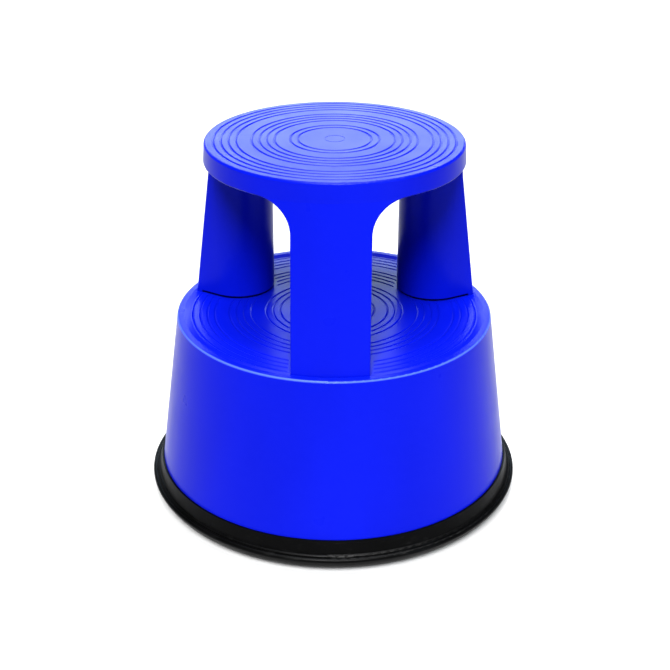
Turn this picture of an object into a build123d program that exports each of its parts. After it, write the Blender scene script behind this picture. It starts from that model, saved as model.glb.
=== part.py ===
from build123d import *
import math
import os

os.makedirs("parts", exist_ok=True)

# Kick step stool: a round lower step and a smaller round upper step on three hollow legs.
# It stands on three sprung castors; a person's weight presses them in until the rubber
# ring round the foot grips the floor.
# Frame: origin on the floor under the centre, +Z up, front leg on -Y. Unloaded, millimetres.

# how far cutters run past a face, and how far ribs run into a wall
overrun = 1.0

# ---- driving dimensions: the two steps -------------------------------------------------
wall = 3.0
top_height = 430.0
top_radius = 145.0
top_thickness = 3.5
top_edge_round = 2.75
skirt_foot_height = 408.0
skirt_foot_radius = 146.5

tread_height = 221.0
tread_thickness = 3.0
tread_flat_radius = 168.0
rim_height = 222.7
rim_slope_end = 175.5
rim_slope_round = 14.0
rim_radius = 183.3
rim_round = 2.4
body_foot_height = 8.0
body_slope = 0.1334

groove_width = 3.0
groove_depth = 0.9
top_groove_radii = (41.0, 49.5, 67.1, 75.4, 83.8, 92.2, 109.5, 117.8, 126.1, 134.5)
tread_groove_radii = (47.5, 63.4, 71.7, 80.1, 97.5, 105.9, 114.3, 122.7, 140.0, 148.4, 156.7, 165.1)
groove_margin = 3.6
gate_ring_radius = 11.7
gate_ring_gauge = 0.9
gate_ring_depth = 0.35

# ribs hidden under both treads
rib_gauge = 2.4
star_ribs = 12
disc_rib_rings = (96.0, 45.0)
disc_rib_depth = 11.0
tread_rib_rings = (118.0, 62.0)
tread_rib_depth = 14.0
tread_star_inner = 8.0
tread_star_start = 15.0

# ---- driving dimensions: the legs ------------------------------------------------------
leg_angles = (30, 150, 270)
leg_foot_radius = 173.5
leg_half = 42.6
leg_nose_radial = 135.5
arch_radius = 36.0
arch_round = 1.4
foot_rebate_depth = 2.1
foot_rebate_height = 3.2
foot_rebate_reach = 166.0
seat_gap = 0.5
upstand_gap = 0.4
upstand_reach = 165.0
upstand_gauge = 2.0
upstand_height = 7.0

leg_screw_radial = 140.0
leg_screw_offset = 26.0
leg_screw_spots = ((leg_screw_radial, leg_screw_offset), (leg_screw_radial, -leg_screw_offset))
leg_screw_radius = 2.5
leg_screw_length = 30.0
leg_screw_head_radius = 4.8
leg_screw_head_height = 3.0
screw_pad_radius = 7.0
screw_pad_height = 4.0
screw_clearance = 0.25
recess_width = 1.2
recess_depth = 1.6
leg_boss_radius = 5.5
leg_boss_height = 34.0

# ---- driving dimensions: castors -------------------------------------------------------
castor_angles = (90, 210, 330)
castor_radial = 150.0
castor_trail = 14.0
wheel_radius = 20.0
wheel_width = 18.0
tyre_round = 2.5
hub_radius = 15.5
hub_inset = 1.0
hub_rim = 2.5
hub_dish = 4.5
hub_boss_wall = 2.4
hub_boss_gap = 0.4
running_gap = 0.06
press_gap = 0.02
axle_radius = 3.0
axle_head_collar = 2.0
axle_head_height = 1.8
bush_radius = 4.6
fork_gauge = 2.5
fork_inside = 20.0
crown_length = 30.0
crown_corner = 3.0
crown_bottom = 43.0
cheek_head_width = 24.0
cheek_head_depth = 4.5
cheek_foot_radius = 7.5
stem_radius = 5.5
stem_neck_radius = 4.5
stem_rivet_radius = 6.5
stem_rivet_height = 1.5
stem_chamfer = 0.8
washer_radius = 10.0
washer_thickness = 1.7
plunger_bottom = 47.5
plunger_shank_radius = 9.0
plunger_head_radius = 11.4
plunger_head_bottom = 63.3
plunger_head_top = 73.3
sleeve_bottom = 57.0
sleeve_flange_thickness = 3.0
sleeve_lip_top = 63.0
sleeve_top = 103.2
sleeve_radius = 15.0
seat_disc_bottom = 103.5
seat_disc_thickness = 1.5
seat_disc_gap = 0.1
seat_disc_bore = 6.0
clip_bottom = 73.8
clip_thickness = 1.2
clip_radius = 7.5
clip_bore = 4.65
clip_slack = 0.1
clip_groove_radius = 4.6
stem_top = 77.0
spring_wire = 2.0
spring_mean_radius = 9.0
spring_turns = 7

tower_bore = 15.15
tower_radius = 18.5
ear_offset = 22.5
ear_spots = ((castor_radial, ear_offset), (castor_radial, -ear_offset))
ear_radius = 5.5
ear_height = 30.0
ear_screw_radius = 2.0
ear_screw_length = 18.0
ear_screw_head_radius = 3.8
ear_screw_head_height = 2.3

# ---- driving dimensions: rubber ring ---------------------------------------------------
ring_foot_height = 4.0
ring_lip_height = 38.5
ring_lip_width = 2.4
ring_inner_radius = 203.0
ring_inner_top = 22.0
ring_inner_taper = 0.8
ring_inner_land = 1.6
ring_channel_draft = 0.2
ring_foot_outside = 211.5
fit_gap = 0.1
# points of its outer outline, as (radius, height), from the lip down
band_foot = (213.4, 24.8)
ledge_start = (213.8, 23.6)
ledge_middle = (215.8, 23.2)
ledge_groove = (217.1, 21.2)
bumper_top = (219.9, 21.2)
bumper_side = (221.5, 17.2)
underside_middle = (217.8, 10.4)


def body_radius(height):
    """Outer radius of the lower step's conical wall."""
    return rim_radius + body_slope * (rim_height - height)


def leg_radius(height):
    """Outer radius of the cone on which the three leg faces lie."""
    slope = (leg_foot_radius - skirt_foot_radius) / (skirt_foot_height - tread_height)
    return skirt_foot_radius + slope * (skirt_foot_height - height)


def upright_plane(angle):
    """Plane through the stool's axis, facing out at an angle: x runs sideways and y up."""
    turn = math.radians(angle)
    sideways = (-math.sin(turn), math.cos(turn), 0)
    outwards = (math.cos(turn), math.sin(turn), 0)
    return Plane(origin=(0, 0, 0), x_dir=sideways, z_dir=outwards)


def draw_leg_outlines(half_width, reach):
    """Three leg outlines: half-round nose towards the centre, straight sides, curved outer face."""
    with PolarLocations(leg_nose_radial, 3, start_angle=leg_angles[0]):
        Circle(half_width)
    with PolarLocations((leg_nose_radial + reach) / 2, 3, start_angle=leg_angles[0]):
        Rectangle(reach - leg_nose_radial, 2 * half_width)
    Circle(reach, mode=Mode.INTERSECT)


def draw_grooves(radii, surface_height):
    """Sections of round V grooves in a level tread, in the XZ plane."""
    for radius in radii:
        Polygon(
            (radius - groove_width / 2, surface_height),
            (radius, surface_height - groove_depth),
            (radius + groove_width / 2, surface_height),
            align=None,
        )


def turned(frame, steps, mode=Mode.ADD):
    """Coaxial cylinders along a frame's z axis, each given as (from, to, radius)."""
    for bottom, top, radius in steps:
        with Locations(frame.offset(bottom)):
            Cylinder(radius, top - bottom, align=(Align.CENTER, Align.CENTER, Align.MIN), mode=mode)


def on_arch(edge):
    """True for the outer quarter rounds where the leg faces flare into the skirt."""
    middle = edge.position_at(0.5)
    if not skirt_foot_height - arch_radius + overrun < middle.Z < skirt_foot_height - overrun:
        return False
    return abs(math.hypot(middle.X, middle.Y) - leg_radius(middle.Z)) < 0.05


# ======================= upper step =======================
# Frustum that the leg tubes fill; its side runs down the middle of the outer panels.
with BuildPart() as leg_envelope:
    with BuildSketch(Plane.XZ):
        with BuildLine():
            Polyline(
                (0, tread_height),
                (leg_foot_radius - wall / 2, tread_height),
                (skirt_foot_radius - wall / 2, skirt_foot_height),
                (top_radius - wall / 2, top_height - top_thickness),
                (0, top_height - top_thickness),
                close=True,
            )
        make_face()
    revolve()

# A frustum one wall inside the leg faces: it bounds the hollows of the legs.
with BuildPart() as core_envelope:
    with BuildSketch(Plane.XZ):
        with BuildLine():
            Polyline(
                (0, tread_height),
                (leg_foot_radius - wall, tread_height),
                (skirt_foot_radius - wall, skirt_foot_height),
                (top_radius - wall, top_height - top_thickness),
                (0, top_height - top_thickness),
                close=True,
            )
        make_face()
    revolve()

# Three straight-sided panels that flare into the skirt with a quarter round at each side.
with BuildPart() as panel_mask:
    for angle in leg_angles:
        with BuildSketch(upright_plane(angle)):
            with BuildLine():
                Line((0, tread_height), (leg_half, tread_height))
                Line((leg_half, tread_height), (leg_half, skirt_foot_height - arch_radius))
                CenterArc(
                    (leg_half + arch_radius, skirt_foot_height - arch_radius),
                    arch_radius,
                    start_angle=180,
                    arc_size=-90,
                )
                Line((leg_half + arch_radius, skirt_foot_height), (0, skirt_foot_height))
                mirror(about=Plane.YZ)
            make_face()
        extrude(amount=leg_foot_radius + wall)

with BuildPart() as leg_panels:
    with BuildSketch(Plane.XZ):
        with BuildLine():
            Polyline(
                (leg_foot_radius - wall, tread_height),
                (leg_foot_radius, tread_height),
                (skirt_foot_radius, skirt_foot_height),
                (skirt_foot_radius - wall, skirt_foot_height),
                close=True,
            )
        make_face()
    revolve()
    add(panel_mask.part, mode=Mode.INTERSECT)

with BuildPart() as leg_tubes:
    with BuildSketch(Plane.XY.offset(tread_height)):
        draw_leg_outlines(leg_half, leg_foot_radius)
    extrude(amount=top_height - top_thickness - tread_height)
    add(leg_envelope.part, mode=Mode.INTERSECT)

with BuildPart() as leg_cores:
    with BuildSketch(Plane.XY.offset(tread_height)):
        draw_leg_outlines(leg_half - wall, leg_foot_radius)
    extrude(amount=top_height - top_thickness - tread_height)
    add(core_envelope.part, mode=Mode.INTERSECT)

with BuildPart() as upper_step:
    # Disc and skirt.
    with BuildSketch(Plane.XZ) as disc_section:
        with BuildLine():
            Polyline(
                (0, top_height),
                (top_radius, top_height),
                (skirt_foot_radius, skirt_foot_height),
                (skirt_foot_radius - wall, skirt_foot_height),
                (top_radius - wall, top_height - top_thickness),
                (0, top_height - top_thickness),
                close=True,
            )
        make_face()
        fillet(disc_section.vertices().sort_by_distance((top_radius, top_height))[0], top_edge_round)
    revolve()
    # Stiffening ribs under the disc: two rings and a star.
    with BuildSketch(Plane.XY.offset(top_height - top_thickness)):
        for radius in disc_rib_rings:
            Circle(radius + rib_gauge / 2)
            Circle(radius - rib_gauge / 2, mode=Mode.SUBTRACT)
        star_reach = skirt_foot_radius - wall
        with PolarLocations((disc_rib_rings[-1] + star_reach) / 2, star_ribs):
            Rectangle(star_reach - disc_rib_rings[-1], rib_gauge)
    extrude(amount=-disc_rib_depth)
    # Legs: outer panels, inner tubes, and the hollow through each.
    add(leg_panels.part)
    add(leg_tubes.part)
    add(leg_cores.part, mode=Mode.SUBTRACT)
    # Rounded edges of the openings; the round runs on down the legs and along the skirt's foot.
    fillet(upper_step.edges().filter_by(on_arch), arch_round)
    # Shadow gap: a shallow rebate round the inner sides of each leg's foot.
    with BuildSketch(Plane.XY.offset(tread_height)):
        draw_leg_outlines(leg_half + overrun, leg_foot_radius + overrun)
        offset(amount=-overrun - foot_rebate_depth, kind=Kind.INTERSECTION, mode=Mode.SUBTRACT)
        Circle(foot_rebate_reach, mode=Mode.INTERSECT)
    extrude(amount=foot_rebate_height, mode=Mode.SUBTRACT)
    # Anti-slip grooves in the upper tread.
    with BuildSketch(Plane.XZ):
        draw_grooves(top_groove_radii, top_height)
    revolve(mode=Mode.SUBTRACT)
    # Fine ring round the gate at the middle of the tread.
    with BuildSketch(Plane.XY.offset(top_height)):
        Circle(gate_ring_radius)
        Circle(gate_ring_radius - gate_ring_gauge, mode=Mode.SUBTRACT)
    extrude(amount=-gate_ring_depth, mode=Mode.SUBTRACT)
    # Screw bosses inside each leg, tied to its side walls.
    for angle in leg_angles:
        leg_frame = Plane.XY.rotated((0, 0, angle))
        with BuildSketch(leg_frame.offset(tread_height)):
            with Locations(*leg_screw_spots):
                Circle(leg_boss_radius)
        extrude(amount=leg_boss_height)
        with BuildSketch(leg_frame.offset(tread_height + upstand_height + overrun)):
            web_middle = (leg_screw_offset + leg_half) / 2
            with Locations((leg_screw_radial, web_middle), (leg_screw_radial, -web_middle)):
                Rectangle(rib_gauge, leg_half - leg_screw_offset - overrun)
        extrude(amount=leg_boss_height - upstand_height - overrun)
        with BuildSketch(leg_frame.offset(tread_height)):
            with Locations(*leg_screw_spots):
                Circle(leg_screw_radius + running_gap)
        extrude(amount=leg_screw_length, mode=Mode.SUBTRACT)

upper_step.part.label = "upper_step"
export_step(upper_step.part, "parts/upper_step.step")
print("upper_step", len(upper_step.part.solids()), round(upper_step.part.volume))


# ======================= lower step =======================
# Groove cutter for the tread, left out where the legs stand.
with BuildPart() as tread_grooves:
    with BuildSketch(Plane.XZ):
        draw_grooves(tread_groove_radii, tread_height)
    revolve()
    with BuildSketch(Plane.XY.offset(tread_height - groove_depth)):
        draw_leg_outlines(leg_half + groove_margin, rim_radius)
    extrude(amount=groove_depth, mode=Mode.SUBTRACT)

# Everything that the drum wall encloses: castor towers, webs and ribs.
with BuildPart() as step_core:
    with BuildSketch(Plane.XZ):
        with BuildLine():
            Polyline(
                (0, body_foot_height),
                (body_radius(body_foot_height) - wall / 2, body_foot_height),
                (body_radius(tread_height) - wall / 2, tread_height),
                (0, tread_height),
                close=True,
            )
        make_face()
    revolve()

under_tread = tread_height - tread_thickness
tower_foot = sleeve_bottom + sleeve_flange_thickness

with BuildPart() as step_ribs:
    # Star of ribs and two rings under the tread.
    with BuildSketch(Plane.XY.offset(under_tread + overrun)):
        for radius in tread_rib_rings:
            Circle(radius + rib_gauge / 2)
            Circle(radius - rib_gauge / 2, mode=Mode.SUBTRACT)
        with PolarLocations((tread_star_inner + rim_radius) / 2, star_ribs, start_angle=tread_star_start):
            Rectangle(rim_radius - tread_star_inner, rib_gauge)
    extrude(amount=-tread_rib_depth - overrun)
    # Castor towers with two screw ears each and a web out to the drum wall.
    for angle in castor_angles:
        castor_frame = Plane.XY.rotated((0, 0, angle))
        with BuildSketch(castor_frame.offset(tower_foot)):
            with Locations((castor_radial, 0)):
                Circle(tower_radius)
            with Locations(((castor_radial + ring_inner_radius) / 2, 0)):
                Rectangle(ring_inner_radius - castor_radial, wall)
        extrude(amount=under_tread + overrun - tower_foot)
        with BuildSketch(castor_frame.offset(tower_foot)):
            with Locations(*ear_spots):
                Circle(ear_radius)
        extrude(amount=ear_height)
    add(step_core.part, mode=Mode.INTERSECT)

with BuildPart() as lower_step:
    # Drum wall and tread.
    with BuildSketch(Plane.XZ) as drum_section:
        drum_foot_radius = body_radius(body_foot_height)
        with BuildLine():
            Polyline(
                (0, tread_height),
                (tread_flat_radius, tread_height),
                (rim_slope_end, rim_height),
                (rim_radius, rim_height),
                (drum_foot_radius, body_foot_height),
                (drum_foot_radius - wall, body_foot_height),
                (body_radius(under_tread) - wall, under_tread),
                (0, under_tread),
                close=True,
            )
        make_face()
        corners = drum_section.vertices()
        fillet(corners.sort_by_distance((rim_radius, rim_height))[0], rim_round)
        fillet(corners.sort_by_distance((rim_slope_end, rim_height))[0], rim_slope_round)
        fillet(corners.sort_by_distance((tread_flat_radius, tread_height))[0], rim_slope_round)
    revolve()
    add(step_ribs.part)
    # Level seats for the three legs, let into the slope of the border.
    with BuildSketch(Plane.XY.offset(tread_height)):
        draw_leg_outlines(leg_half + seat_gap, leg_foot_radius + seat_gap)
    extrude(amount=rim_height - tread_height + overrun, mode=Mode.SUBTRACT)
    add(tread_grooves.part, mode=Mode.SUBTRACT)
    # Upstands that locate the legs from inside.
    upstand_half = leg_half - wall - upstand_gap
    with BuildSketch(Plane.XY.offset(tread_height)):
        draw_leg_outlines(upstand_half, upstand_reach)
    extrude(amount=upstand_height)
    with BuildSketch(Plane.XY.offset(tread_height)):
        draw_leg_outlines(upstand_half - upstand_gauge, upstand_reach - upstand_gauge)
    extrude(amount=upstand_height, mode=Mode.SUBTRACT)
    # Screw pads under the tread and clearance holes for the leg screws.
    for angle in leg_angles:
        leg_frame = Plane.XY.rotated((0, 0, angle))
        with BuildSketch(leg_frame.offset(under_tread)):
            with Locations(*leg_screw_spots):
                Circle(screw_pad_radius)
        extrude(amount=-screw_pad_height)
        with BuildSketch(leg_frame.offset(tread_height)):
            with Locations(*leg_screw_spots):
                Circle(leg_screw_radius + screw_clearance)
        extrude(amount=-tread_thickness - screw_pad_height, mode=Mode.SUBTRACT)
    # Bores of the towers, with a cross of fins left in the upper part, and the ear pilots.
    for angle in castor_angles:
        castor_frame = Plane.XY.rotated((0, 0, angle))
        with BuildSketch(castor_frame.offset(tower_foot)):
            with Locations((castor_radial, 0)):
                Circle(tower_bore)
        extrude(amount=seat_disc_bottom + seat_disc_thickness - tower_foot, mode=Mode.SUBTRACT)
        with BuildSketch(castor_frame.offset(tower_foot)):
            with Locations((castor_radial, 0)):
                Circle(tower_bore)
                Rectangle(2 * tower_bore, rib_gauge, mode=Mode.SUBTRACT)
                Rectangle(rib_gauge, 2 * tower_bore, mode=Mode.SUBTRACT)
        extrude(amount=under_tread - tower_foot, mode=Mode.SUBTRACT)
        with BuildSketch(castor_frame.offset(tower_foot)):
            with Locations(*ear_spots):
                Circle(ear_screw_radius + running_gap)
        extrude(amount=ear_screw_length, mode=Mode.SUBTRACT)

lower_step.part.label = "lower_step"
export_step(lower_step.part, "parts/lower_step.step")
print("lower_step", len(lower_step.part.solids()), round(lower_step.part.volume))

# ======================= rubber ring =======================
# Channel section pushed onto the drum's lower edge, with a bumper bead all round.
with BuildPart() as base_ring:
    with BuildSketch(Plane.XZ) as ring_section:
        lip_inside = body_radius(ring_lip_height) + fit_gap
        channel_outside = body_radius(body_foot_height) + fit_gap
        channel_inside = channel_outside - wall - 2 * fit_gap
        with BuildLine():
            # Lip, sloping band and the small step below it.
            Polyline(
                (lip_inside, ring_lip_height),
                (lip_inside + ring_lip_width, ring_lip_height),
                band_foot,
                ledge_start,
            )
            # Small bead, groove and bumper bead.
            ThreePointArc(ledge_start, ledge_middle, ledge_groove)
            ThreePointArc(ledge_groove, bumper_top, bumper_side)
            # Rounded underside down to the gripping foot.
            ThreePointArc(bumper_side, underside_middle, (ring_foot_outside, ring_foot_height))
            # Foot, inner leg and the channel that the drum wall stands in.
            Polyline(
                (ring_foot_outside, ring_foot_height),
                (ring_inner_radius, ring_foot_height),
                (ring_inner_radius - ring_inner_taper, ring_inner_top),
                (ring_inner_radius + ring_inner_land, ring_inner_top),
                (channel_inside - ring_channel_draft, body_foot_height - fit_gap),
                (channel_outside, body_foot_height - fit_gap),
                (lip_inside, ring_lip_height),
            )
        make_face()
    revolve()

base_ring.part.label = "base_ring"
export_step(base_ring.part, "parts/base_ring.step")
print("base_ring", len(base_ring.part.solids()), round(base_ring.part.volume))


# ======================= screws =======================
# Pan-head screws up through the tread, two into each leg.
head_seat = under_tread - screw_pad_height
with BuildPart() as leg_screws:
    for angle in leg_angles:
        for spot in leg_screw_spots:
            screw_frame = Plane(Plane.XY.rotated((0, 0, angle)).location * Location(spot))
            turned(screw_frame, (
                (head_seat - leg_screw_head_height, head_seat, leg_screw_head_radius),
                (head_seat, head_seat + leg_screw_length, leg_screw_radius),
            ))
            with BuildSketch(screw_frame.offset(head_seat - leg_screw_head_height)):
                Rectangle(leg_screw_head_radius, recess_width)
                Rectangle(recess_width, leg_screw_head_radius)
            extrude(amount=recess_depth, mode=Mode.SUBTRACT)
leg_screws.part.label = "leg_screws"
export_step(leg_screws.part, "parts/leg_screws.step")

# Smaller ones hold the flange of each castor sleeve to the ears of its tower.
with BuildPart() as sleeve_screws:
    for angle in castor_angles:
        for spot in ear_spots:
            screw_frame = Plane(Plane.XY.rotated((0, 0, angle)).location * Location(spot))
            turned(screw_frame, (
                (sleeve_bottom - ear_screw_head_height, sleeve_bottom, ear_screw_head_radius),
                (sleeve_bottom, sleeve_bottom + ear_screw_length, ear_screw_radius),
            ))
            with BuildSketch(screw_frame.offset(sleeve_bottom - ear_screw_head_height)):
                Rectangle(ear_screw_head_radius, recess_width)
                Rectangle(recess_width, ear_screw_head_radius)
            extrude(amount=recess_depth, mode=Mode.SUBTRACT)
sleeve_screws.part.label = "sleeve_screws"
export_step(sleeve_screws.part, "parts/sleeve_screws.step")

# ======================= castors =======================
# Each frame stands on the floor under the swivel axis, x along the trail, z up.
crown_top = crown_bottom + fork_gauge
cheek_out = fork_inside / 2 + fork_gauge
boss_half = fork_inside / 2 - hub_boss_gap
plunger_bore = stem_radius + running_gap

for number, angle in enumerate(castor_angles, start=1):
    turn = math.radians(angle)
    foot = (castor_radial * math.cos(turn), castor_radial * math.sin(turn), 0)
    trail_way = (-math.sin(turn), math.cos(turn), 0)
    side_way = (math.cos(turn), math.sin(turn), 0)
    frame = Plane(origin=foot, x_dir=trail_way, z_dir=(0, 0, 1))
    side = Plane(origin=foot, x_dir=trail_way, z_dir=side_way)
    wheel_centre = tuple(foot[i] + castor_trail * trail_way[i] for i in range(2)) + (wheel_radius,)
    axle_frame = Plane(origin=wheel_centre, x_dir=trail_way, z_dir=side_way)
    name = f"castor_{number}"

    # Guide sleeve, pushed up into the tower and held by its flange.
    with BuildPart() as sleeve:
        with BuildSketch(frame.offset(sleeve_bottom)):
            Circle(tower_radius)
            with Locations((ear_offset, 0), (-ear_offset, 0)):
                Circle(ear_radius)
            make_hull()
        extrude(amount=sleeve_flange_thickness)
        turned(frame, ((sleeve_bottom, sleeve_top, sleeve_radius),))
        turned(frame, (
            (sleeve_bottom, sleeve_top, plunger_shank_radius + running_gap),
            (sleeve_lip_top, sleeve_top, plunger_head_radius + running_gap),
        ), mode=Mode.SUBTRACT)
        with BuildSketch(frame.offset(sleeve_bottom)):
            with Locations((ear_offset, 0), (-ear_offset, 0)):
                Circle(ear_screw_radius + screw_clearance)
        extrude(amount=sleeve_flange_thickness, mode=Mode.SUBTRACT)
    sleeve.part.label = f"{name}_sleeve"
    export_step(sleeve.part, f"parts/{name}_sleeve.step")

    # Steel disc that spreads the spring's push on the fins of the tower.
    with BuildPart() as spring_seat:
        with BuildSketch(frame.offset(seat_disc_bottom)):
            Circle(sleeve_radius - seat_disc_gap)
            Circle(seat_disc_bore, mode=Mode.SUBTRACT)
        extrude(amount=seat_disc_thickness)
    spring_seat.part.label = f"{name}_spring_seat"
    export_step(spring_seat.part, f"parts/{name}_spring_seat.step")

    # Compression spring between the plunger's head and that disc.
    coil_bottom = plunger_head_top + spring_wire / 2
    coil_height = seat_disc_bottom - plunger_head_top - spring_wire
    with BuildPart() as spring:
        with BuildLine(frame.offset(coil_bottom)) as coil:
            Helix(coil_height / spring_turns, coil_height, spring_mean_radius)
        with BuildSketch(Plane(origin=coil.line @ 0, z_dir=coil.line % 0)):
            Circle(spring_wire / 2)
        sweep(path=coil.line, is_frenet=True)
    spring.part.label = f"{name}_spring"
    export_step(spring.part, f"parts/{name}_spring.step")

    # Plunger: slides up and down in the sleeve and carries the swivel stem.
    with BuildPart() as plunger:
        turned(frame, (
            (plunger_bottom, plunger_head_bottom, plunger_shank_radius),
            (plunger_head_bottom, plunger_head_top, plunger_head_radius),
        ))
        turned(frame, ((plunger_bottom, plunger_head_top, plunger_bore),), mode=Mode.SUBTRACT)
    plunger.part.label = f"{name}_plunger"
    export_step(plunger.part, f"parts/{name}_plunger.step")

    # Stem, riveted into the fork's crown, with a groove for its retaining clip.
    with BuildPart() as stem:
        turned(frame, (
            (crown_bottom - stem_rivet_height, crown_bottom, stem_rivet_radius),
            (crown_bottom, crown_top, stem_neck_radius),
            (crown_top, stem_top, stem_radius),
        ))
        chamfer(stem.faces().sort_by(Axis.Z)[-1].edges(), stem_chamfer)
        with BuildSketch(frame.offset(clip_bottom - clip_slack)):
            Circle(stem_radius + overrun)
            Circle(clip_groove_radius, mode=Mode.SUBTRACT)
        extrude(amount=clip_thickness + 2 * clip_slack, mode=Mode.SUBTRACT)
    stem.part.label = f"{name}_stem"
    export_step(stem.part, f"parts/{name}_stem.step")

    # Retaining clip in that groove, above the plunger.
    with BuildPart() as clip:
        with BuildSketch(frame.offset(clip_bottom)):
            Circle(clip_radius)
            Circle(clip_bore, mode=Mode.SUBTRACT)
            with Locations((clip_radius, 0)):
                Rectangle(2 * clip_radius, stem_radius, mode=Mode.SUBTRACT)
        extrude(amount=clip_thickness)
    clip.part.label = f"{name}_clip"
    export_step(clip.part, f"parts/{name}_clip.step")

    # Thrust washer between crown and plunger.
    with BuildPart() as washer:
        with BuildSketch(frame.offset(crown_top)):
            Circle(washer_radius)
            Circle(stem_radius + running_gap, mode=Mode.SUBTRACT)
        extrude(amount=washer_thickness)
    washer.part.label = f"{name}_washer"
    export_step(washer.part, f"parts/{name}_washer.step")

    # Pressed steel fork: a crown and two cheeks.
    with BuildPart() as fork:
        with BuildSketch(frame.offset(crown_bottom)):
            with Locations((castor_trail / 4, 0)):
                RectangleRounded(crown_length, 2 * cheek_out, crown_corner)
        extrude(amount=fork_gauge)
        for face_offset in (-cheek_out, fork_inside / 2):
            with BuildSketch(side.offset(face_offset)):
                with Locations((castor_trail / 4, crown_top - cheek_head_depth / 2)):
                    Rectangle(cheek_head_width, cheek_head_depth)
                with Locations((castor_trail, wheel_radius)):
                    Circle(cheek_foot_radius)
                make_hull()
            extrude(amount=fork_gauge)
        turned(frame, ((crown_bottom, crown_top, stem_neck_radius + press_gap),), mode=Mode.SUBTRACT)
        turned(axle_frame, ((-cheek_out, cheek_out, axle_radius + press_gap),), mode=Mode.SUBTRACT)
    fork.part.label = f"{name}_fork"
    export_step(fork.part, f"parts/{name}_fork.step")

    # Axle, a rivet with a head outside each cheek.
    with BuildPart() as axle:
        turned(axle_frame, (
            (-cheek_out - axle_head_height, -cheek_out, axle_radius + axle_head_collar),
            (-cheek_out, cheek_out, axle_radius),
            (cheek_out, cheek_out + axle_head_height, axle_radius + axle_head_collar),
        ))
    axle.part.label = f"{name}_axle"
    export_step(axle.part, f"parts/{name}_axle.step")

    # Plain bush pressed into the hub; it turns on the axle.
    with BuildPart() as bush:
        turned(axle_frame, ((-boss_half, boss_half, bush_radius),))
        turned(axle_frame, ((-boss_half, boss_half, axle_radius + running_gap),), mode=Mode.SUBTRACT)
    bush.part.label = f"{name}_bush"
    export_step(bush.part, f"parts/{name}_bush.step")

    # Hub: a dished disc with a boss round the bush.
    with BuildPart() as hub:
        turned(axle_frame, ((hub_inset - wheel_width / 2, wheel_width / 2 - hub_inset, hub_radius),))
        for recess_side in (-1, 1):
            with BuildSketch(axle_frame.offset(recess_side * (wheel_width / 2 - hub_inset))):
                Circle(hub_radius - hub_rim)
            extrude(amount=-recess_side * hub_dish, mode=Mode.SUBTRACT)
        turned(axle_frame, ((-boss_half, boss_half, bush_radius + hub_boss_wall),))
        turned(axle_frame, ((-boss_half, boss_half, bush_radius + press_gap),), mode=Mode.SUBTRACT)
    hub.part.label = f"{name}_hub"
    export_step(hub.part, f"parts/{name}_hub.step")

    # Soft tyre on the hub.
    with BuildPart() as tyre:
        turned(axle_frame, ((-wheel_width / 2, wheel_width / 2, wheel_radius),))
        fillet(tyre.edges(), tyre_round)
        turned(axle_frame, ((-wheel_width / 2, wheel_width / 2, hub_radius + press_gap),), mode=Mode.SUBTRACT)
    tyre.part.label = f"{name}_tyre"
    export_step(tyre.part, f"parts/{name}_tyre.step")
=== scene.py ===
import math

import bmesh
import bpy
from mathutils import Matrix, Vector


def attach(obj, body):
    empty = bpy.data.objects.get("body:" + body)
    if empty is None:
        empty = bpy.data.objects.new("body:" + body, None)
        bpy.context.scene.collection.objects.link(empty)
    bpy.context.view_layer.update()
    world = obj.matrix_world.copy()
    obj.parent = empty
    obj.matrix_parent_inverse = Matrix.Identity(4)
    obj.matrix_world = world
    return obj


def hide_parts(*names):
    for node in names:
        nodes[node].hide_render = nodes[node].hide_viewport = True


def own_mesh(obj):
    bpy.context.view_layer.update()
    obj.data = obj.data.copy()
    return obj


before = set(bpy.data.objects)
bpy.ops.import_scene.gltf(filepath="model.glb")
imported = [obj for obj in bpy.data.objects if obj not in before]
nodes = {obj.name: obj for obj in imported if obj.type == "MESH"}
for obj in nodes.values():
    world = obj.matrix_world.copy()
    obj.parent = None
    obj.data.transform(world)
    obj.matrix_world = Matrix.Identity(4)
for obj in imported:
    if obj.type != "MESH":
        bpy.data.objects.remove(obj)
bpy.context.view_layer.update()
scene = bpy.context.scene
scene.view_settings.view_transform = "Standard"


# ======================= floor =======================
# A wide sheet of white studio paper, smooth and matt, laid flat under the stool.
# It glows a little so that it stays white out to the edges of the view.
def start_material(name):
    """An empty material: its node tree, its shader and coordinates in metres."""
    material = bpy.data.materials.new(name)
    material.use_nodes = True
    tree = material.node_tree
    coords = tree.nodes.new("ShaderNodeTexCoord")
    return material, tree, tree.nodes["Principled BSDF"], coords.outputs["Object"]


def cloud(tree, place, per_metre, detail=2.0, stretch=None):
    """Soft noise with so many features to the metre, closer or further apart along each axis."""
    if stretch:
        mapping = tree.nodes.new("ShaderNodeMapping")
        mapping.inputs["Scale"].default_value = stretch
        tree.links.new(place, mapping.inputs["Vector"])
        place = mapping.outputs["Vector"]
    noise = tree.nodes.new("ShaderNodeTexNoise")
    noise.inputs["Scale"].default_value = per_metre
    noise.inputs["Detail"].default_value = detail
    tree.links.new(place, noise.inputs["Vector"])
    return noise.outputs["Fac"]


def ranged(tree, value, low, high, start=0.3, end=0.7):
    """A value stretched so that start..end becomes low..high."""
    span = tree.nodes.new("ShaderNodeMapRange")
    span.inputs["From Min"].default_value = start
    span.inputs["From Max"].default_value = end
    span.inputs["To Min"].default_value = low
    span.inputs["To Max"].default_value = high
    tree.links.new(value, span.inputs["Value"])
    return span.outputs["Result"]


def blend_colours(tree, factor, first, second):
    """A colour between two others; either may be a colour or another node's output."""
    mix = tree.nodes.new("ShaderNodeMix")
    mix.data_type = "RGBA"
    tree.links.new(factor, mix.inputs["Factor"])
    for socket, colour in ((mix.inputs[6], first), (mix.inputs[7], second)):
        if isinstance(colour, tuple):
            socket.default_value = (*colour, 1.0)
        else:
            tree.links.new(colour, socket)
    return mix.outputs[2]


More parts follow.
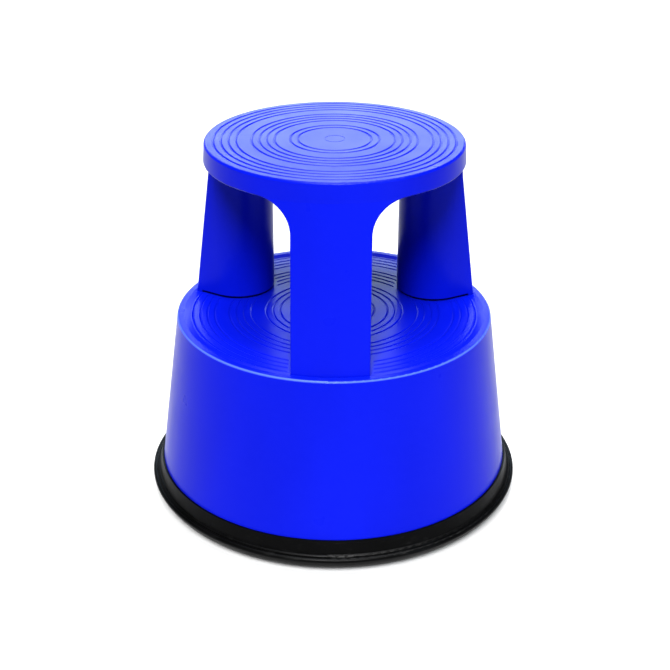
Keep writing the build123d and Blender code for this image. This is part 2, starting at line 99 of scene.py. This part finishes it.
def dented(tree, shader, *reliefs):
    """Fine relief, one laid over another: each is (value, (depth in metres, strength))."""
    normal = None
    for value, (depth, strength) in reliefs:
        bump = tree.nodes.new("ShaderNodeBump")
        bump.inputs["Distance"].default_value = depth
        bump.inputs["Strength"].default_value = strength
        tree.links.new(value, bump.inputs["Height"])
        if normal:
            tree.links.new(normal, bump.inputs["Normal"])
        normal = bump.outputs["Normal"]
    tree.links.new(normal, shader.inputs["Normal"])


FLOOR_HALF = 15.0
PAPER_GREY = (0.33, 0.33, 0.33)
PAPER_PALE = (0.36, 0.36, 0.36)
PAPER_ROUGHNESS = (0.85, 0.95)
PAPER_SHINE = 0.1
PAPER_GLOW = 0.2
WHITE = (1.0, 1.0, 1.0)

paper, tree, shader, place = start_material("floor_paper")
fibres = cloud(tree, place, per_metre=60.0, detail=3.0)
tree.links.new(blend_colours(tree, fibres, PAPER_GREY, PAPER_PALE), shader.inputs["Base Color"])
tree.links.new(ranged(tree, fibres, *PAPER_ROUGHNESS), shader.inputs["Roughness"])
shader.inputs["Specular IOR Level"].default_value = PAPER_SHINE
shader.inputs["Emission Color"].default_value = (*WHITE, 1.0)
shader.inputs["Emission Strength"].default_value = PAPER_GLOW
sheet = bpy.data.meshes.new("floor")
corners = [(FLOOR_HALF * x, FLOOR_HALF * y, 0) for x, y in ((-1, -1), (1, -1), (1, 1), (-1, 1))]
sheet.from_pydata(corners, [], [(0, 1, 2, 3)])
sheet.materials.append(paper)
floor = bpy.data.objects.new("floor", sheet)
scene.collection.objects.link(floor)


# ======================= light =======================
# A broad key light from in front and above, with soft boxes behind, above and to the right.
# The box behind gives the treads their sheen, and the one on the right gives the drum its edge.
KEY_STRENGTH = 9.2
KEY_SPREAD = math.radians(24)
KEY_FROM = Vector((-0.05, -0.85, 1.0))
COOL_TINT = (0.74, 0.95, 1.15)
NEUTRAL_TINT = (0.96, 0.98, 1.0)

key = bpy.data.lights.new("key", "SUN")
key.energy = KEY_STRENGTH
key.angle = KEY_SPREAD
lamp = bpy.data.objects.new("key", key)
lamp.rotation_euler = KEY_FROM.to_track_quat("Z", "Y").to_euler()
scene.collection.objects.link(lamp)


def soft_box(name, place, aim, size, power, tint):
    """A rectangular soft box that faces a point."""
    light = bpy.data.lights.new(name, "AREA")
    light.shape = "RECTANGLE"
    light.size, light.size_y = size
    light.energy = power
    light.color = tint
    box = bpy.data.objects.new(name, light)
    box.location = place
    box.rotation_euler = (Vector(aim) - Vector(place)).to_track_quat("-Z", "Y").to_euler()
    scene.collection.objects.link(box)


soft_box("screen", place=(0.0, 2.6, 1.18), aim=(0, 0, 0.4), size=(2.4, 0.42), power=33.0, tint=COOL_TINT)
soft_box("above", place=(0.0, 0.0, 2.6), aim=(0, 0, 0.2), size=(1.2, 1.2), power=125.0, tint=NEUTRAL_TINT)
soft_box("right", place=(1.5, -1.3, 0.8), aim=(0, 0, 0.2), size=(0.4, 1.0), power=9.0, tint=COOL_TINT)


# ======================= room =======================
# A white cyclorama behind the floor, as the camera sees it.
# Shiny faces mirror a room that is dark in front and bright behind; matt faces get little of it.
ROOM_STRENGTH = (0.02, 0.42)
ROOM_FADE = (0.25, 0.75)
ROOM_TINT = (0.66, 0.78, 1.0)
ROOM_SHADE = 0.01


def background(tree, colour):
    """An even sky of one colour, at full strength until told otherwise."""
    sky = tree.nodes.new("ShaderNodeBackground")
    sky.inputs["Color"].default_value = (*colour, 1.0)
    return sky


def either_sky(tree, seen, other, chosen):
    """One sky for the rays that the socket picks out, and another for the rest."""
    choice = tree.nodes.new("ShaderNodeMixShader")
    tree.links.new(seen, choice.inputs["Fac"])
    tree.links.new(other, choice.inputs[1])
    tree.links.new(chosen, choice.inputs[2])
    return choice.outputs["Shader"]


room = bpy.data.worlds.new("room")
scene.world = room
room.use_nodes = True
tree = room.node_tree
tree.nodes.clear()
outwards = tree.nodes.new("ShaderNodeTexCoord")
axes = tree.nodes.new("ShaderNodeSeparateXYZ")
tree.links.new(outwards.outputs["Generated"], axes.inputs["Vector"])
mirrored = background(tree, ROOM_TINT)
tree.links.new(ranged(tree, axes.outputs["Y"], *ROOM_STRENGTH, *ROOM_FADE), mirrored.inputs["Strength"])
shade = background(tree, WHITE)
shade.inputs["Strength"].default_value = ROOM_SHADE
backdrop = background(tree, WHITE)
ray = tree.nodes.new("ShaderNodeLightPath")
indirect = either_sky(
    tree, ray.outputs["Is Glossy Ray"], shade.outputs["Background"], mirrored.outputs["Background"]
)
sky = either_sky(tree, ray.outputs["Is Camera Ray"], indirect, backdrop.outputs["Background"])
out = tree.nodes.new("ShaderNodeOutputWorld")
tree.links.new(sky, out.inputs["Surface"])


# ======================= camera =======================
# A long lens a little above the stool, looking down at it over the front leg.
CAMERA_PLACE = Vector((0.0324, -1.4312, 0.8942))
CAMERA_AIM = Vector((0.0012, 0.0, 0.1873))
CAMERA_ROLL = math.radians(0.25)
LENS_LENGTH = 72.2
SENSOR_WIDTH = 36.0

optics = bpy.data.cameras.new("camera")
optics.lens = LENS_LENGTH
optics.sensor_width = SENSOR_WIDTH
camera = bpy.data.objects.new("camera", optics)
camera.location = CAMERA_PLACE
camera.rotation_euler = (CAMERA_AIM - CAMERA_PLACE).to_track_quat("-Z", "Y").to_euler()
camera.rotation_euler.rotate_axis("Z", CAMERA_ROLL)
scene.collection.objects.link(camera)
scene.camera = camera


# ======================= upper step and lower step =======================
# Two injection mouldings in blue polypropylene, satin from the tool, screwed together.
# Feet have left faint scuffs on the treads; the sides show only the flow of the plastic.
UPPER_TREAD = 0.430
LOWER_TREAD = 0.221
BLUE_DEEP = (0.0004, 0.0028, 0.26)
BLUE_LIGHT = (0.0009, 0.0046, 0.36)
BLUE_RUBBED = (0.004, 0.011, 0.36)
SATIN = (0.24, 0.36)
RUBBED_DULLING = 0.16
BLUE_SHINE = 0.05
SHEEN_TINT = (0.75, 0.9, 1.0)
SCUFF_DEPTH = (-0.0012, -0.0002)
PEEL_RELIEF = (0.0003, 0.06)
SPARK_RELIEF = (0.0001, 0.10)
SCUFF_RELIEF = (0.00008, 0.10)
# Each painted band comes in between two distances from the axis and two heights.
# The gap below the legs' inner sides gets painted shade; the lower tread's outer edge gets a pale painted
# highlight.
PAINTED_GAP_SHADE = {"reach": (0.1665, 0.1655), "level": (0.2246, 0.2240), "shade": (0.0001, 0.0004, 0.020)}
PAINTED_RIM_HIGHLIGHT = {"reach": (0.1815, 0.1825), "level": (0.2203, 0.2215), "shade": (0.040, 0.075, 0.50)}


def both(tree, first, second):
    """Two values multiplied: full only where both are."""
    product = tree.nodes.new("ShaderNodeMath")
    product.operation = "MULTIPLY"
    tree.links.new(first, product.inputs[0])
    tree.links.new(second, product.inputs[1])
    return product.outputs["Value"]


def height_of(tree, place):
    """Height above the floor, in metres."""
    axes = tree.nodes.new("ShaderNodeSeparateXYZ")
    tree.links.new(place, axes.inputs["Vector"])
    return axes.outputs["Z"]


def reach_of(tree, place):
    """Distance from the stool's upright axis, in metres."""
    flat = tree.nodes.new("ShaderNodeVectorMath")
    flat.operation = "MULTIPLY"
    flat.inputs[1].default_value = (1.0, 1.0, 0.0)
    tree.links.new(place, flat.inputs[0])
    around = tree.nodes.new("ShaderNodeVectorMath")
    around.operation = "LENGTH"
    tree.links.new(flat.outputs["Vector"], around.inputs[0])
    return around.outputs["Value"]


def scuffs(tree, place, tread_height):
    """Scratches both ways across a tread, and none on the sides or in the grooves."""
    along = cloud(tree, place, per_metre=55.0, detail=4.0, stretch=(1.0, 6.0, 1.0))
    across = cloud(tree, place, per_metre=60.0, detail=4.0, stretch=(5.0, 0.8, 1.0))
    crossed = both(
        tree,
        ranged(tree, along, 0.0, 1.0, start=0.58, end=0.74),
        ranged(tree, across, 0.0, 1.0, start=0.50, end=0.70),
    )
    bottom, top = (tread_height + depth for depth in SCUFF_DEPTH)
    return both(tree, crossed, ranged(tree, height_of(tree, place), 0.0, 1.0, bottom, top))


def blue_with_wear_and_painted_light(name, tread_height, band):
    """Satin blue plastic, scuffed on its tread, with one band of painted light in another colour."""
    material, tree, shader, place = start_material(name)
    flow = cloud(tree, place, per_metre=9.0, stretch=(1.0, 1.0, 0.35))
    worn = scuffs(tree, place, tread_height)
    colour = blend_colours(tree, flow, BLUE_DEEP, BLUE_LIGHT)
    colour = blend_colours(tree, worn, colour, BLUE_RUBBED)
    # The band is painted light in the base colour: painted shade on the upper step, a painted highlight on
    # the lower.
    near = ranged(tree, reach_of(tree, place), 0.0, 1.0, *band["reach"])
    level = ranged(tree, height_of(tree, place), 0.0, 1.0, *band["level"])
    colour = blend_colours(tree, both(tree, near, level), colour, band["shade"])
    tree.links.new(colour, shader.inputs["Base Color"])
    satin = ranged(tree, cloud(tree, place, per_metre=26.0), *SATIN, start=0.0, end=1.0)
    rough = tree.nodes.new("ShaderNodeMath")
    rough.operation = "MULTIPLY_ADD"
    tree.links.new(worn, rough.inputs[0])
    rough.inputs[1].default_value = RUBBED_DULLING
    tree.links.new(satin, rough.inputs[2])
    tree.links.new(rough.outputs["Value"], shader.inputs["Roughness"])
    shader.inputs["Specular IOR Level"].default_value = BLUE_SHINE
    shader.inputs["Specular Tint"].default_value = (*SHEEN_TINT, 1.0)
    peel = cloud(tree, place, per_metre=150.0)
    spark = cloud(tree, place, per_metre=900.0, detail=1.0)
    dented(tree, shader, (peel, PEEL_RELIEF), (spark, SPARK_RELIEF), (worn, SCUFF_RELIEF))
    return material


def paint(names, material):
    """Gives CAD nodes their material."""
    for name in names:
        nodes[name].data.materials.clear()
        nodes[name].data.materials.append(material)


# The upper step gets a band of painted shade in the gap under its legs, where shadow falls.
paint(["upper_step"], blue_with_wear_and_painted_light("blue_upper", UPPER_TREAD, PAINTED_GAP_SHADE))
# The lower step gets a pale painted highlight along its tread's outer edge.
paint(["lower_step"], blue_with_wear_and_painted_light("blue_lower", LOWER_TREAD, PAINTED_RIM_HIGHLIGHT))


# ======================= base ring =======================
# Extruded black rubber, pushed over the drum's lower edge; it grips the floor under load.
# Its bead is scuffed a little greyer where it has met walls and shoes.
RUBBER_BLACK = (0.0004, 0.0004, 0.0004)
RUBBER_DUSTY = (0.0009, 0.0009, 0.0010)
RUBBER_SCUFFED = (0.004, 0.004, 0.004)
RUBBER_ROUGHNESS = (0.30, 0.42)
RUBBER_SHINE = 0.035
RUBBER_SKIN_RELIEF = (0.0004, 0.12)
RUBBER_GRAIN_RELIEF = (0.0001, 0.15)

rubber, tree, shader, place = start_material("black_rubber")
dust = ranged(tree, cloud(tree, place, per_metre=22.0, detail=4.0), 0.0, 1.0)
dusty = blend_colours(tree, dust, RUBBER_BLACK, RUBBER_DUSTY)
knocks = cloud(tree, place, per_metre=70.0, detail=5.0, stretch=(1.0, 1.0, 4.0))
marks = ranged(tree, knocks, 0.0, 1.0, start=0.60, end=0.80)
tree.links.new(blend_colours(tree, marks, dusty, RUBBER_SCUFFED), shader.inputs["Base Color"])
handled = cloud(tree, place, per_metre=40.0, detail=3.0)
tree.links.new(ranged(tree, handled, *RUBBER_ROUGHNESS), shader.inputs["Roughness"])
shader.inputs["Specular IOR Level"].default_value = RUBBER_SHINE
skin = cloud(tree, place, per_metre=120.0, detail=3.0)
grain = cloud(tree, place, per_metre=800.0, detail=1.0)
dented(tree, shader, (skin, RUBBER_SKIN_RELIEF), (grain, RUBBER_GRAIN_RELIEF))
paint(["base_ring"], rubber)


# ======================= screws =======================
# Pan-head screws in bright zinc-plated steel: six into the legs, six into the castor towers.
# The drivers have dulled the plating a little in places.
STREAK_RELIEF = (0.0001, 0.15)
PLATING_RELIEF = (0.00005, 0.10)


def plate(name, bright, dull, roughness, streaks):
    """Plated or bare steel with fine streaks along the way it was drawn or rolled."""
    material, tree, shader, place = start_material(name)
    shader.inputs["Metallic"].default_value = 1.0
    tarnish = ranged(tree, cloud(tree, place, per_metre=130.0, detail=4.0), 0.0, 1.0, start=0.40, end=0.75)
    tree.links.new(blend_colours(tree, tarnish, bright, dull), shader.inputs["Base Color"])
    lines = cloud(tree, place, per_metre=420.0, detail=3.0, stretch=streaks)
    tree.links.new(ranged(tree, lines, *roughness), shader.inputs["Roughness"])
    grain = cloud(tree, place, per_metre=1400.0, detail=1.0)
    dented(tree, shader, (lines, STREAK_RELIEF), (grain, PLATING_RELIEF))
    return material


screw_zinc = plate(
    "screw_zinc",
    bright=(0.62, 0.63, 0.65),
    dull=(0.42, 0.42, 0.42),
    roughness=(0.26, 0.42),
    streaks=(1, 1, 0.2),
)
paint(["leg_screws", "sleeve_screws"], screw_zinc)


# ======================= castor guides: sleeves and plungers =======================
# Black glass-filled nylon, moulded; the plunger slides in the sleeve and is polished by it.
# Light grey rub marks run up and down.
CASTORS = (1, 2, 3)
GUIDE_BLACK = (0.010, 0.010, 0.011)
GUIDE_RUBBED = (0.022, 0.022, 0.024)
GUIDE_ROUGHNESS = (0.34, 0.55)
GUIDE_FIBRE_RELIEF = (0.0002, 0.12)
GUIDE_GRAIN_RELIEF = (0.0001, 0.12)


def castor_nodes(*parts):
    """The names of these parts on all the castors."""
    return [f"castor_{number}_{part}" for number in CASTORS for part in parts]


guide, tree, shader, place = start_material("guide_nylon")
fibre = cloud(tree, place, per_metre=260.0, detail=4.0, stretch=(1.0, 1.0, 0.3))
guide_shade = blend_colours(tree, ranged(tree, fibre, 0.0, 1.0), GUIDE_BLACK, GUIDE_RUBBED)
tree.links.new(guide_shade, shader.inputs["Base Color"])
rubbed = cloud(tree, place, per_metre=90.0, detail=3.0, stretch=(1.0, 1.0, 0.12))
tree.links.new(ranged(tree, rubbed, *GUIDE_ROUGHNESS), shader.inputs["Roughness"])
grain = cloud(tree, place, per_metre=1100.0, detail=1.0)
dented(tree, shader, (fibre, GUIDE_FIBRE_RELIEF), (grain, GUIDE_GRAIN_RELIEF))
paint(castor_nodes("sleeve", "plunger"), guide)


# ======================= castor springs =======================
# Oil-hardened spring wire, coiled with a closed turn at each end; dark, with drawing lines.
# It bears on the plunger below and on the steel seat disc above; the real spring shortens as they close,
# but this one is wound at one fixed length.
WIRE_RADIUS = 0.001
COIL_RADIUS = 0.009
COIL_FOOT = 0.0743
COIL_TOP = 0.1025
CLOSED_TURNS = 0.8
CLOSED_PITCH = 0.00206
OPEN_TURNS = 5.4
CASTOR_RADIAL = 0.150
FIRST_CASTOR_ANGLE = 90
STEPS_PER_TURN = 48
WIRE_SIDES = 14


def coil_height(turn):
    """Height of the wire's middle after so many turns: closed at both ends, even between."""
    closed = CLOSED_TURNS * CLOSED_PITCH
    if turn < CLOSED_TURNS:
        return COIL_FOOT + turn * CLOSED_PITCH
    if turn > CLOSED_TURNS + OPEN_TURNS:
        return COIL_TOP - closed + (turn - CLOSED_TURNS - OPEN_TURNS) * CLOSED_PITCH
    rise = (COIL_TOP - COIL_FOOT - 2 * closed) / OPEN_TURNS
    return COIL_FOOT + closed + (turn - CLOSED_TURNS) * rise


def wind_spring(name, foot):
    """A round wire wound about an upright axis through a point, with both cut ends closed."""
    turns = OPEN_TURNS + 2 * CLOSED_TURNS
    steps = int(turns * STEPS_PER_TURN)
    up = Vector((0.0, 0.0, 1.0))
    work = bmesh.new()
    rings = []
    for step in range(steps + 1):
        turn = turns * step / steps
        angle = 2 * math.pi * turn
        out = Vector((math.cos(angle), math.sin(angle), 0.0))
        middle = Vector((foot[0], foot[1], coil_height(turn))) + COIL_RADIUS * out
        ring = []
        for side in range(WIRE_SIDES):
            around = 2 * math.pi * side / WIRE_SIDES
            rim = math.cos(around) * out + math.sin(around) * up
            ring.append(work.verts.new(middle + WIRE_RADIUS * rim))
        rings.append(ring)
    for lower, upper in zip(rings, rings[1:]):
        for side in range(WIRE_SIDES):
            after = (side + 1) % WIRE_SIDES
            face = work.faces.new((lower[side], lower[after], upper[after], upper[side]))
            face.smooth = True
    work.faces.new(rings[0][::-1])
    work.faces.new(rings[-1])
    bmesh.ops.recalc_face_normals(work, faces=work.faces)
    mesh = bpy.data.meshes.new(name)
    work.to_mesh(mesh)
    work.free()
    spring = bpy.data.objects.new(name, mesh)
    scene.collection.objects.link(spring)
    return spring


wire = plate(
    "spring_wire",
    bright=(0.30, 0.30, 0.31),
    dull=(0.16, 0.15, 0.15),
    roughness=(0.28, 0.46),
    streaks=(1, 1, 3),
)
for number in CASTORS:
    angle = math.radians(FIRST_CASTOR_ANGLE + 360 * (number - 1) / len(CASTORS))
    foot = (CASTOR_RADIAL * math.cos(angle), CASTOR_RADIAL * math.sin(angle))
    spring = wind_spring(f"spring_{number}", foot)
    spring.data.materials.append(wire)
    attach(spring, "stool")
    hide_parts(f"castor_{number}_spring")
    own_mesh(spring)


# ======================= castor steelwork =======================
# Seat discs, stems, clips, washers and axles: turned or stamped steel, zinc plated.
# The forks are pressed from sheet and have the rolled grain of the strip.
turned_steel = plate(
    "turned_zinc",
    bright=(0.60, 0.61, 0.63),
    dull=(0.40, 0.40, 0.41),
    roughness=(0.24, 0.40),
    streaks=(1, 1, 5),
)
pressed_steel = plate(
    "pressed_zinc",
    bright=(0.56, 0.57, 0.59),
    dull=(0.36, 0.36, 0.37),
    roughness=(0.30, 0.48),
    streaks=(0.3, 1, 1),
)
paint(castor_nodes("spring_seat", "stem", "clip", "washer", "axle"), turned_steel)
paint(castor_nodes("fork"), pressed_steel)


# ======================= castor wheels =======================
# Hub of black nylon with a pale acetal bush, and a grey rubber tyre moulded on.
# The tyre carries a film of floor dust; the bush is slightly greasy.
MOULD_RELIEF = (0.0002, 0.15)
SHINE_TO_PATCHES = 2.5


def mould(name, fresh, worn, roughness, patches, grain):
    """A moulded material with soft patches of two shades and a fine grain, so many to the metre."""
    material, tree, shader, place = start_material(name)
    patch = ranged(tree, cloud(tree, place, patches, detail=4.0), 0.0, 1.0)
    tree.links.new(blend_colours(tree, patch, fresh, worn), shader.inputs["Base Color"])
    smears = cloud(tree, place, SHINE_TO_PATCHES * patches, detail=3.0)
    tree.links.new(ranged(tree, smears, *roughness), shader.inputs["Roughness"])
    dented(tree, shader, (cloud(tree, place, grain), MOULD_RELIEF))
    return material


hub_nylon = mould(
    "hub_nylon",
    fresh=(0.012, 0.012, 0.013),
    worn=(0.026, 0.026, 0.028),
    roughness=(0.38, 0.52),
    patches=70.0,
    grain=900.0,
)
bush_acetal = mould(
    "bush_acetal",
    fresh=(0.70, 0.68, 0.62),
    worn=(0.58, 0.55, 0.48),
    roughness=(0.24, 0.38),
    patches=160.0,
    grain=1200.0,
)
tyre_rubber = mould(
    "tyre_rubber",
    fresh=(0.045, 0.045, 0.047),
    worn=(0.105, 0.102, 0.098),
    roughness=(0.55, 0.78),
    patches=120.0,
    grain=700.0,
)
paint(castor_nodes("hub"), hub_nylon)
paint(castor_nodes("bush"), bush_acetal)
paint(castor_nodes("tyre"), tyre_rubber)
